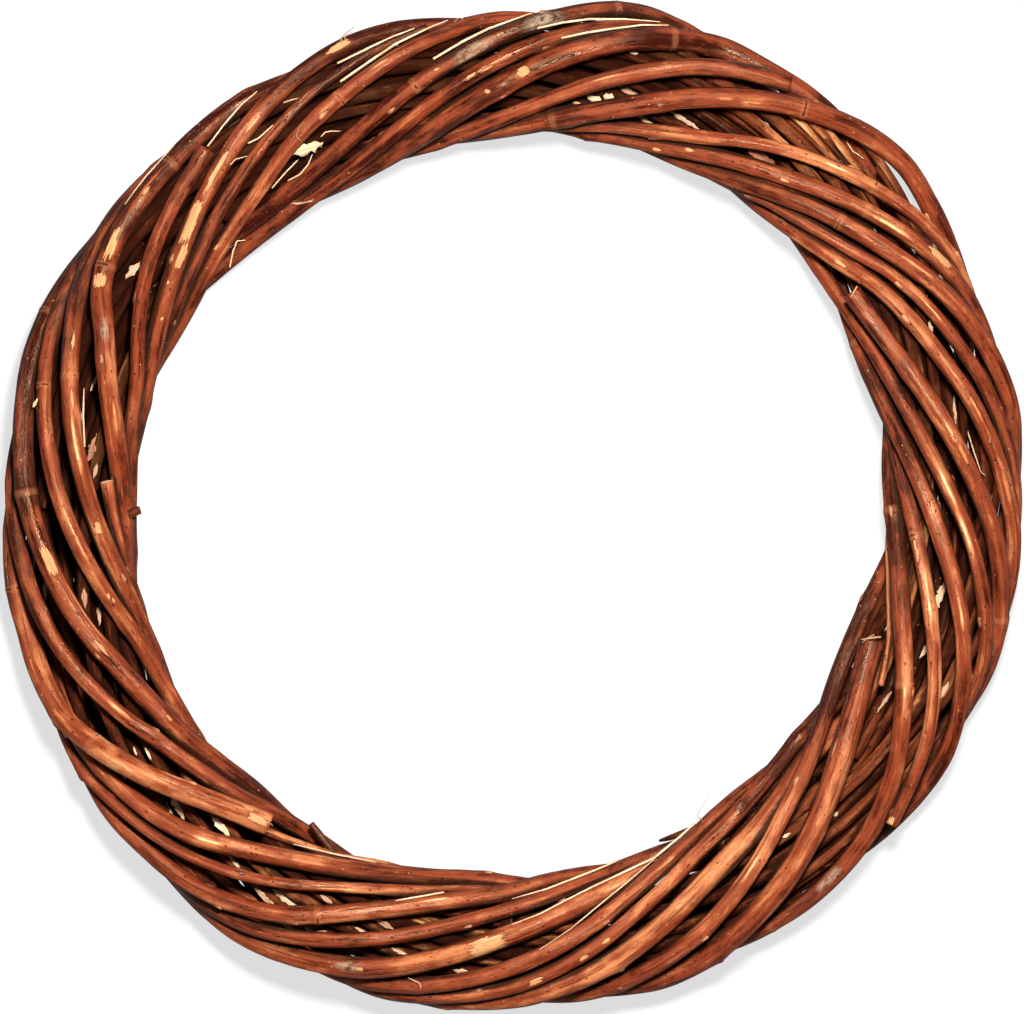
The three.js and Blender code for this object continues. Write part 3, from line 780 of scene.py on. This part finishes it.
# Angle, distance, length, width, and how pale it is from 0 to 1
FLAKES = (
    (11.4, 125.4, 4.6, 3, 1), (13.3, 126.3, 3.2, 2.4, 0.95), (330.3, 123.8, 10, 3.3, 0.95),
    (302, 134.1, 6.5, 2.4, 0.6), (278, 127.2, 9, 2.4, 0.35), (282.3, 146.4, 3, 1, 1),
    (255.5, 128.2, 7, 1.5, 0.6), (258, 131.1, 6, 1.8, 0.35), (275, 125.5, 4.5, 1, 0.5),
    (24, 127.3, 11.5, 1.4, 0.7), (18.8, 123.3, 8.5, 1.6, 0.9), (35.5, 129, 12, 4.5, 0.15),
    (44.5, 146.1, 11, 3, 0.85), (197, 131, 6, 1.8, 0.5), (209.5, 136, 12, 2.6, 0.75),
    (15.5, 129.9, 7, 2.4, 0.45), (14.8, 141.5, 3.5, 1.4, 0.7), (101.8, 131.4, 12, 2.2, 0.8),
    (113, 141.2, 6, 1.6, 0.6), (117.7, 126.3, 8, 1.1, 0.5), (109.3, 131.4, 5, 1.4, 0.7),
    (66.7, 136.7, 4, 1.3, 0.6), (71.7, 140.6, 3.5, 1, 0.7), (77.5, 136.5, 9, 1, 0.75),
    (89, 144.6, 4.5, 1, 0.8), (140.2, 128.4, 3, 1.2, 0.8), (147.8, 118.8, 5, 1, 0.8),
    (167, 142.2, 4.5, 1.4, 1), (172.2, 133.7, 2, 1, 0.8), (186, 140.4, 6, 1.6, 0.6),
    (194, 137.7, 6, 1.2, 0.6), (199.5, 135, 4.5, 1.2, 0.6), (205.3, 130.2, 4.5, 1.3, 0.6),
    (205.3, 141.3, 4.5, 1.2, 0.7), (212.2, 138.9, 9, 1.6, 0.7), (218, 135.3, 6, 1.2, 0.7),
    (222.3, 129.7, 8, 2.2, 1), (228, 135, 8, 2, 0.7), (229, 137.4, 7, 1.3, 0.7),
    (235.8, 132, 4, 0.8, 0.9), (237, 135, 2.6, 0.7, 0.9), (245.5, 131.1, 5, 1.1, 1),
    (260, 142.8, 6, 1.4, 0.6), (286.5, 131.2, 5, 1, 1), (133.5, 134.1, 1.6, 0.9, 1))
INNER = [node for node in skins if node.startswith(("core", "shoot"))]
HOOP_TURN = 9  # degrees between the hoops and the way round the ring
FLAKE_ROW = 0.8  # mm from one row of a flake's corners to the next
DEEPEST = 0.012  # a flake lies on inner rods above this height, and else on whatever is there
flakes = bmesh.new()
flake_at = flakes.verts.layers.float_vector.new("bark_place")
flake_tone = flakes.verts.layers.float.new("tone")
chance = np.random.default_rng(11)
for number, (angle, distance, length, width, pale) in enumerate(FLAKES):
    # It leans inwards as the angle grows, as the hoops do, and has five corners across
    lean = math.radians(angle + HOOP_TURN + chance.uniform(-4, 4))
    ahead = Vector((math.cos(lean), -math.sin(lean), 0))
    beside = Vector((math.sin(lean), math.cos(lean), 0))
    middle = on_front(angle, distance)
    rows = max(5, int(length / FLAKE_ROW))
    spots = []
    for row in range(rows + 1):
        share = 2 * row / rows - 1
        half = width / 2 * max(0.12, 1 - abs(share) ** 2.6) * chance.uniform(0.65, 1.15)
        slip = chance.uniform(-0.12, 0.12) * width
        for column in range(-2, 3):
            spots.append((share * length / 2 + chance.uniform(-0.3, 0.3), slip + half * column / 2))
    spots = np.array(spots)
    flat = [middle + (ahead * u + beside * v) / 1000 for u, v in spots]
    heights = [top_at(spot.x, spot.y, INNER) for spot in flat]
    found = [n for n, height in enumerate(heights) if height and height > DEEPEST]
    if len(found) < 6:
        heights = [top_at(spot.x, spot.y, skins) for spot in flat]
        found = [n for n, height in enumerate(heights) if height]
    # It rests on the higher of the places found under it, and never lies steeper than 0.4 in 1
    rest = np.column_stack([np.ones(len(found)), spots[found]])
    slope = np.linalg.lstsq(rest, np.array([heights[n] for n in found]), rcond=None)[0]
    slope[1:] = np.clip(slope[1:], -0.0004, 0.0004)
    slope[0] = np.quantile([heights[n] for n in found], 0.75)
    curl = chance.uniform(-0.25, 0.5)
    corners_made = []
    for (u, v), spot in zip(spots, flat):
        bend = curl * (2 * v / width) ** 2 + 0.35 * math.sin(u / 1.7 + number)
        bend += chance.uniform(-0.12, 0.12)
        corner = flakes.verts.new((spot.x, spot.y, slope @ (1, u, v) + (0.5 + bend) / 1000))
        corner[flake_at] = (v, 0.0, u + 60 * number)
        corner[flake_tone] = pale
        corners_made.append(corner)
    for row in range(rows):
        for column in range(4):
            first = row * 5 + column
            flakes.faces.new([corners_made[n] for n in (first, first + 5, first + 6, first + 1)])
bmesh.ops.recalc_face_normals(flakes, faces=flakes.faces)
flake_mesh = bpy.data.meshes.new("torn_flakes")
flakes.to_mesh(flake_mesh)
flakes.free()
flake_mesh.polygons.foreach_set("use_smooth", [True] * len(flake_mesh.polygons))
flake_mesh.materials.append(bast)
torn_flakes = in_scene("torn_flakes", flake_mesh)
thick = torn_flakes.modifiers.new("thickness", "SOLIDIFY")
thick.thickness = 0.0003
thick.offset = 0
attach(torn_flakes, "root")

# The stray fibres.
# Threads of bast and splinters of bark and wood that came loose when the rods were wound. Each
# lies on the rods under it, and is stiff enough to span the gaps between them.
STUB_HEIGHT = 0.026  # stubs and splinters grow from the rods at about this height


def into_rod(spot, deep=0.0005):
    """The place on the nearest rod where something can grow from it, a little inside its bark."""
    aim = Vector((spot.x, spot.y, STUB_HEIGHT))
    near = min((surface.find_nearest(aim) for surface in surfaces.values()), key=lambda hit: hit[3])
    return near[0] - near[1] * deep


# Thickness, how pale it is, and the points that it runs through
FIBRES = (
    (0.5, 1, ((323, 120), (326, 121.5), (329, 123))),
    (0.5, 1, ((325.5, 118.95), (327.5, 118.5), (329.2, 119.7), (330.5, 121.8))),
    (0.45, 1, ((332.7, 125.1), (333.5, 125.7), (334.3, 125.25), (335.5, 124.05))),
    (0.5, 0.45, ((330, 126.3), (329.8, 128.4), (330.6, 130.2), (331.6, 131.1))),
    (0.6, 1, ((324, 134.7), (325.5, 134.1), (326.5, 134.4), (328, 135))),
    (0.45, 0.9, ((320.5, 132.75), (321.5, 133.05), (323, 131.7))),
    (0.3, 0.6, ((149, 108), (147.5, 106.5), (145.8, 105.3))),
    (0.45, 0.8, ((79.5, 138.6), (83, 139.8), (85.7, 141.3), (86.2, 142.5))),
    (0.45, 1, ((42.4, 149.25), (43, 148.8), (43.8, 148.35), (44.5, 148.8), (45.3, 149.1))),
    (0.4, 0.9, ((48.1, 153), (48.2, 150.9), (48.6, 149.1))),
    (0.4, 0.9, ((190.7, 147), (191, 145.5), (192.5, 144.6))),
    (0.6, 0.7, ((109.4, 117.3), (109.9, 115.2), (110.8, 111.9))),
    (0.5, 0.6, ((109.4, 115.2), (110.2, 113.7), (111.2, 112.5))),
    (0.6, 0.7, ((57.4, 122.7), (57.9, 120.6), (58.3, 119.1))),
    (0.6, 0.7, ((273.3, 123.3), (273.6, 121.5), (273.8, 120.15))),
    (0.6, 0.9, ((278, 129.3), (282, 131.4), (285.5, 133.2))),
    (0.7, 0.6, ((340, 150), (341, 151.2), (341.8, 151.8))),
    (0.5, 0.6, ((340.5, 150.15), (341.5, 150.75))),
    (0.4, 0.5, ((353.2, 146.7), (353.8, 147.75))),
    (0.4, 0.5, ((354, 147), (354.5, 147.9))),
    (0.55, 1, ((310.3, 111.6), (312.5, 114), (314, 115.2), (315, 113.7))),
    (0.5, 0.85, ((324, 112.8), (325.5, 111), (326.8, 109.8))),
    (0.5, 0.7, ((324.3, 111.9), (325.8, 110.7), (327.2, 109.95))),
    (0.6, 0.95, ((319.8, 141.9), (323, 144), (326, 145.8), (328.5, 146.7))),
    (0.45, 1, ((330.5, 139.5), (331.5, 139.05), (332.5, 138.45))),
    (0.7, 1, ((3, 143.7), (6, 146.1), (9, 148.2), (13, 150.3), (17, 152.4))),
    (0.7, 1, ((6, 141.3), (9, 144), (12, 146.7), (15, 149.7), (18, 152.1))),
    (0.7, 1, ((338.5, 143.1), (342, 144), (345.7, 145.5), (348.5, 146.55))),
    (0.8, 1, ((338, 137.7), (341.9, 140.1), (345.9, 143.22), (350.5, 146.1), (352.5, 147.3))),
    (0.8, 1, ((350, 136.5), (353.8, 140.4), (357.2, 143.9), (360.6, 146.9), (362.3, 148.7))),
    (0.7, 1, ((150, 109.8), (154, 111.6), (158, 113.7), (163, 114.6), (168, 116.4), (172, 118.8),
              (176, 122.1), (180, 125.1))),
    (0.5, 0.8, ((158, 114), (162, 117), (167, 121.5), (172, 127.5), (176.5, 132.9))),
    (0.6, 0.95, ((163.6, 111), (168, 112.2), (175, 115.2), (180, 117.6))),
    (0.6, 1, ((190, 117.3), (193, 119.7), (196.5, 123))),
    (0.6, 0.85, ((201, 114.3), (207, 117), (213, 120.6))),
    (0.5, 0.8, ((308, 147.6), (312, 148.2), (317, 148.8))),
)


def strands(name, paths, bark, seed, step, sides, uneven, ridges):
    """Many thin lengths as one mesh. A path has its thickness in mm, how pale it is, how much
    painted shade it has, and its points."""
    at, joined, thick, pale, shades = [], [], [], [], []
    for thick_mm, light, shaded, path in paths:
        joined += [(n, n + 1) for n in range(len(at), len(at) + len(path) - 1)]
        at += path
        thick += [thick_mm / 2000 * (1 - 0.6 * (n / (len(path) - 1)) ** 3)
                  for n in range(len(path))]
        pale += [light] * len(path)
        shades += [shaded] * len(path)
    thing = line_object(name, at, joined, radius=thick, tone=pale, bare=[-1.0] * len(at),
                        sheltered=shades)
    grow(thing, bark, bast, seed, step, sides, uneven, ridges)
    return thing


FIBRE_STEP = 0.0012
SAG = 0.2  # how much a fibre may fall for each length along it
SMOOTHINGS = 4
loose = []
for thick_mm, pale, path in FIBRES:
    spots = [on_front(*point) for point in path]
    root = into_rod(spots[0])
    if not any(top_at(spot.x, spot.y, skins) for spot in spots):
        # It stands off the band's edge, so it starts in the nearest rod
        spots.insert(0, root)
    finer = []
    for first, second in zip(spots, spots[1:]):
        pieces = max(1, round((second - first).length / FIBRE_STEP))
        finer += [first.lerp(second, n / pieces) for n in range(pieces)]
    finer.append(spots[-1])
    heights = [top_at(spot.x, spot.y, skins) for spot in finer]
    known = [n for n, height in enumerate(heights) if height] or [0]
    heights = np.interp(range(len(finer)), known, [heights[n] or root.z for n in known])
    # It is stiff, so it hardly sags between the rods that carry it
    held = heights.copy()
    for order in (range(1, len(finer)), range(len(finer) - 2, -1, -1)):
        for n in order:
            before = n - order.step
            held[n] = max(held[n], held[before] - SAG * (finer[n] - finer[before]).length)
    for _ in range(SMOOTHINGS):
        held = np.convolve(np.pad(held, 1, mode="edge"), (0.25, 0.5, 0.25), mode="valid")
        held = np.maximum(held, heights)
    loose.append((thick_mm, pale, 0.0, [
        Vector((spot.x, spot.y, height + (0.1 + thick_mm / 2) / 1000))
        for spot, height in zip(finer, held)]))
fibres = strands("stray_fibres", loose, bast, seed=60.0, step=0.0005, sides=6, uneven=0.8,
                 ridges=0.0)
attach(fibres, "root")

# The slivers.
# Short split lengths of thin shoots, pushed in under the long rods where the hoops leave a gap.
# They run the way of the hoops, and their ends are held under the rods on both sides.
# Angle, distance, half the length in degrees, thickness in mm, and how pale it is
SLIVERS = (
    (21.2, 145.8, 5, 3, 0.45), (38.5, 147.2, 5.5, 2.8, 1.1), (43.5, 146, 5, 2.6, 0.9),
    (38.5, 143.8, 5, 2.4, 1), (49.8, 150.6, 5.2, 2.8, 0.6), (41, 145.4, 5, 2.6, 0.6),
    (55, 147.6, 4.5, 3, 0.5), (55.5, 145.3, 4, 2.6, 0.4), (59.5, 143.7, 4, 2.8, 0.4),
    (80.6, 137.5, 4, 2.6, 0.2), (89.2, 145.3, 4, 2.8, 0.2), (107.1, 145.2, 4, 3, 0.3),
    (107, 117, 6, 3, 0.1), (106.5, 114.3, 6, 3.4, 0.25), (113.2, 143.1, 3.5, 2.2, 0.2),
    (131.2, 121.4, 3.5, 2.6, 0), (137.5, 115, 4.5, 2.4, 0.1), (146.1, 144.6, 3, 2.2, 0.1),
    (148.6, 119.4, 3.5, 2.6, 0), (168.8, 123.8, 3.5, 2.4, 0), (173.2, 127.4, 4.5, 3.2, 0.3),
    (191.5, 143.4, 4, 2.8, 0.3), (222.2, 146, 5, 3.2, 0.3), (222.5, 143.8, 4.5, 2.8, 0.2),
    (227.2, 143.3, 4, 2.8, 0.1), (231.3, 137.2, 3, 2, 0.3), (234.2, 141, 3, 2.2, 0),
    (247.5, 143.1, 5, 3.6, 0.35), (265, 145.5, 3.5, 2.6, 0), (321, 118.8, 3, 2.4, 0),
    (321, 125.1, 3, 2.6, 0.2), (335.3, 116.7, 3.5, 2.6, 0), (349.2, 138.3, 3, 2.4, 0.2),
    (281.5, 127, 3.5, 2.4, 0.1), (57.4, 148.4, 3.5, 2.2, 0.3), (61.2, 145, 3.5, 2.2, 0.3),
    (61.9, 139, 3.5, 2.4, 0.3), (108.6, 114.9, 3.5, 2.6, 0.1), (139.5, 115.6, 4, 2.4, 0.1),
    (152.2, 110.7, 4, 2.4, 0.1), (341.2, 144.4, 4, 2.4, 0.1), (17, 131.4, 4, 2.2, 0.2),
    (175.6, 128.4, 3, 2, 0.4), (164, 125.3, 3.5, 2.2, 0.2), (193.3, 144.7, 3.5, 2.2, 0.3),
    (41.6, 144.8, 5, 2, 0.2), (49.3, 142.1, 3.5, 2, 0.2), (120.9, 115.1, 4, 2.2, 0.1),
    (135.2, 114.1, 3.5, 2.2, 0.1), (118.6, 138.3, 3, 2, 0.1), (228.6, 144.2, 3, 2.2, 0.1),
    (93.1, 139.6, 3, 2, 0.1), (95.9, 119.2, 3, 2.2, 0.1), (41, 143.7, 4, 2, 0.2),
    (9, 147.7, 4, 2, 0.3), (50, 148.7, 3, 1.6, 0.3))
HOOP_LEAN = 0.14  # how far a hoop comes inwards for each length along it
HALFWAY_UP = 0.0185
LOWEST, HIGHEST = 0.02, 0.03  # a sliver's ends are held between these heights
NO_ROD_OVER = 0.025  # the height taken where no rod passes over an end


def under_at(x, y):
    """How low the lowest of the front passes is over a place, in metres, or nothing."""
    start = Vector((x, y, HALFWAY_UP))
    up = (surfaces[node].ray_cast(start, Vector((0, 0, 1)))[0] for node in PASS_TONES)
    return min((hit.z for hit in up if hit), default=None)


tucked = []
for angle, distance, half, thick_mm, pale in SLIVERS:
    spots = [on_front(angle + share * half,
                      distance - share * math.radians(half) * distance * HOOP_LEAN)
             for share in (-1, -0.6, -0.2, 0.2, 0.6, 1)]
    ends = [under_at(spots[n].x, spots[n].y) or NO_ROD_OVER for n in (0, 0, 1, -2, -1, -1)]
    low = [min(max(min(end), LOWEST), HIGHEST) for end in (ends[:3], ends[3:])]
    depths = (low[0] + (low[1] - low[0]) * n / 5 - (thick_mm / 2 + 0.3) / 1000 for n in range(6))
    # Painted shade on each sliver, as on the hoops round it
    tucked.append((thick_mm, pale, 0.2 + painted_gap_shade(angle), [
        Vector((spot.x, spot.y, depth)) for spot, depth in zip(spots, depths)]))
slivers = strands("slivers", tucked, core_bark, seed=70.0, step=0.001, sides=10, uneven=0.4,
                  ridges=0.0002)
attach(slivers, "root")

# The snags.
# Stumps of twigs that were cut off close to their rod. Each starts inside the rod it grew from.
# Base, tip, thickness, how far the tip rises, and how light the bark is
SNAGS = (
    ((207.3, 115.0), (212.4, 112.7), 2.5, -1.5, 0.15),
    ((268.6, 114.6), (269.6, 111.8), 3.0, -0.6, 0.1),
    ((243.2, 147), (243.0, 150.9), 2.6, 1.2, 0.5),
)
for number, (base, tip, thick_mm, rise, light) in enumerate(SNAGS, 1):
    foot, head = on_front(*base), on_front(*tip)
    foot = into_rod(foot, 0.0009)
    head.z = foot.z + rise / 1000
    line = [foot.lerp(head, share) for share in (0, 0.35, 0.7, 1)]
    radii = [thick_mm / 2000 * share for share in (1.25, 1, 0.95, 0.8)]
    snag = skin_of_rod(f"snag_{number}", (line, radii), 50.0 + number, rod_bark, step=0.0003,
                       sides=12, knots=90.0, ridges=0.0002)
    snag.painted["tone"][:] = light
    # A little painted shade all over
    snag.painted["sheltered"][:] = 0.2
    snag.finish()
    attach(snag.rod, "root")

# The buds.
# A willow bud is a small pointed scale pressed flat on the shoot, one at each knot. These have
# dried on the rods, and point to the rod's thin end.
bud_tree, give, take = recipe(
    "GeometryNodeTree", "dried_buds",
    {"Knots": "Geometry", "Length": "Float", "Width": "Float", "Height": "Float",
     "Scale": "Material"}, {"Buds": "Geometry"})
ball = output(bud_tree, "GeometryNodeMeshUVSphere", {"Segments": 8, "Rings": 6, "Radius": 0.5})
spot = output(bud_tree, "GeometryNodeInputPosition")
spot = add(bud_tree, "ShaderNodeSeparateXYZ", {0: spot}).outputs
taper = sums("SUBTRACT", 0.9, times(spot[2], 0.9))
shaped = output(bud_tree, "ShaderNodeCombineXYZ", {
    0: times(times(spot[0], taper), give["Width"]),
    1: times(times(spot[1], taper), give["Height"]),
    2: times(spot[2], give["Length"])})
bud = output(bud_tree, "GeometryNodeSetPosition", {"Geometry": ball, "Position": shaped})
out, ahead, size = (
    output(bud_tree, "GeometryNodeInputNamedAttribute", {"Name": name}, data_type=kind)
    for name, kind in (("out", "FLOAT_VECTOR"), ("ahead", "FLOAT_VECTOR"), ("size", "FLOAT")))
turned = output(bud_tree, "FunctionNodeAlignRotationToVector", {"Vector": ahead}, axis="Z")
turned = output(bud_tree, "FunctionNodeAlignRotationToVector",
                {"Rotation": turned, "Vector": out}, axis="Y", pivot_axis="Z")
placed = output(bud_tree, "GeometryNodeInstanceOnPoints", {
    "Points": give["Knots"], "Instance": bud, "Rotation": turned, "Scale": size})
finish_tree(bud_tree, placed, give["Scale"], take)

bud_scale, tree, shader = new_material("bud_scale")
at = add(tree, "ShaderNodeTexCoord").outputs["Object"]
flecks = noise_at(at, (900, 900, 900), 3.0, 0.6)
lighter = sums("ADD", flecks, painted_on(tree, light="Fac")[0])
look = mixed(eased(lighter, 0.45, 1.25), colour(92, 36, 20), colour(220, 150, 96))
tree.links.new(look, shader["Base Color"])
tree.links.new(eased(flecks, 0.3, 0.7, 0.35, 0.6), shader["Roughness"])
bumps(shader, 0.6, 0.0002, flecks)

# Paler scales that stand out on the front: angle and distance
PALE_BUDS = ((26, 120), (40, 126.3), (9, 122.4), (22, 114.9), (168, 132.9))
SUNK = 0.0001  # how deep a bud sits in the bark
FULL_KNOT = 0.8  # a bud grows only where the swelling reaches this share of a whole knot
LOWEST_BUD = 0.004  # the table would crush those below this height
NO_BUDS = 6  # mm, at both ends of a rod
knots = []


def bud_on(skin, corner, size, light):
    facing = Vector(outward(skin.rod.data)[corner])
    foot, after = Vector(skin.at[corner]), Vector(skin.at[corner + skin.sides])
    knots.append((foot - facing * SUNK, facing, after - foot, size, light))


for skin in (skins[node] for node in PASS_TONES):
    swelling = read(skin.rod.data.attributes["knot"].data, "value", 1)[:, 0]
    where = skin.along / KNOTS_APART + SEED_APART * skin.seed / KNOTS_APART
    where = np.floor(where).astype(int)
    for knot in np.unique(where):
        here = np.flatnonzero(where == knot)
        corner = here[np.argmax(swelling[here])]
        if (swelling[corner] > FULL_KNOT and skin.at[corner, 2] > LOWEST_BUD
                and NO_BUDS < skin.along[corner] < skin.along.max() - NO_BUDS):
            bud_on(skin, corner, chance.uniform(0.7, 1.15), chance.uniform(0.0, 0.5))
for angle, distance in PALE_BUDS:
    spot = on_front(angle, distance)
    skin = skins[max(skins, key=lambda node: top_at(spot.x, spot.y, [node]) or 0)]
    bud_on(skin, skin.nearest(angle, distance), 0.9, 0.9)
feet, *fields = zip(*knots)
buds = line_object("dried_buds", feet, [], size=fields[2], light=fields[3])
for name, values in zip(("out", "ahead"), fields):
    paint(buds.data, name, values, "FLOAT_VECTOR")
made_by(bud_tree, buds, {"Length": 0.0034, "Width": 0.0015, "Height": 0.0009, "Scale": bud_scale})
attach(buds, "root")

# The place it lies on.
# A pale table that looks white to the camera, a lamp nearly behind the camera, a weak and wide one
# at the left, and the camera high above.
floor_mesh = bpy.data.meshes.new("table")
floor_mesh.from_pydata([(-3, -3, 0), (3, -3, 0), (3, 3, 0), (-3, 3, 0)], [], [(0, 1, 2, 3)])
floor = in_scene("table", floor_mesh)
white, tree, shader = new_material("white_table")
shader["Base Color"].default_value = colour(120, 120, 120)
shader["Roughness"].default_value = 0.9
seen = add(tree, "ShaderNodeLightPath").outputs["Is Camera Ray"]
tree.links.new(times(seen, 0.7), shader["Emission Strength"])
shader["Emission Color"].default_value = (1, 1, 1, 1)
floor_mesh.materials.append(white)


def lamp(name, at, size, power, tint=(1, 1, 1)):
    data = bpy.data.lights.new(name, "AREA")
    data.shape = "DISK"
    data.size = size
    data.energy = power
    data.color = tint
    thing = in_scene(name, data)
    thing.location = at
    thing.rotation_euler = (-Vector(at)).to_track_quat("-Z", "Y").to_euler()


lamp("key_lamp", (0.12, 0.32, 1.5), size=0.2, power=43, tint=(1.0, 1.0, 0.97))
lamp("fill_lamp", (-0.9, -0.3, 1.2), size=1.2, power=1.2)
world = bpy.data.worlds.new("studio")
world.use_nodes = True
world.node_tree.nodes["Background"].inputs[0].default_value = (1, 1, 1, 1)
world.node_tree.nodes["Background"].inputs[1].default_value = 0.07
bpy.context.scene.world = world
bpy.context.scene.view_settings.view_transform = "Standard"

PHOTO_WIDTH = 0.3072
FRONT_HEIGHT = 0.03
CAMERA_HEIGHT = 3.5
eye = bpy.data.cameras.new("eye")
eye.sensor_width = 36
eye.lens = eye.sensor_width * (CAMERA_HEIGHT - FRONT_HEIGHT) / PHOTO_WIDTH
eye.clip_end = 20
camera = in_scene("camera", eye)
camera.location = RING_MIDDLE + Vector((0, 0, CAMERA_HEIGHT))
bpy.context.scene.camera = camera
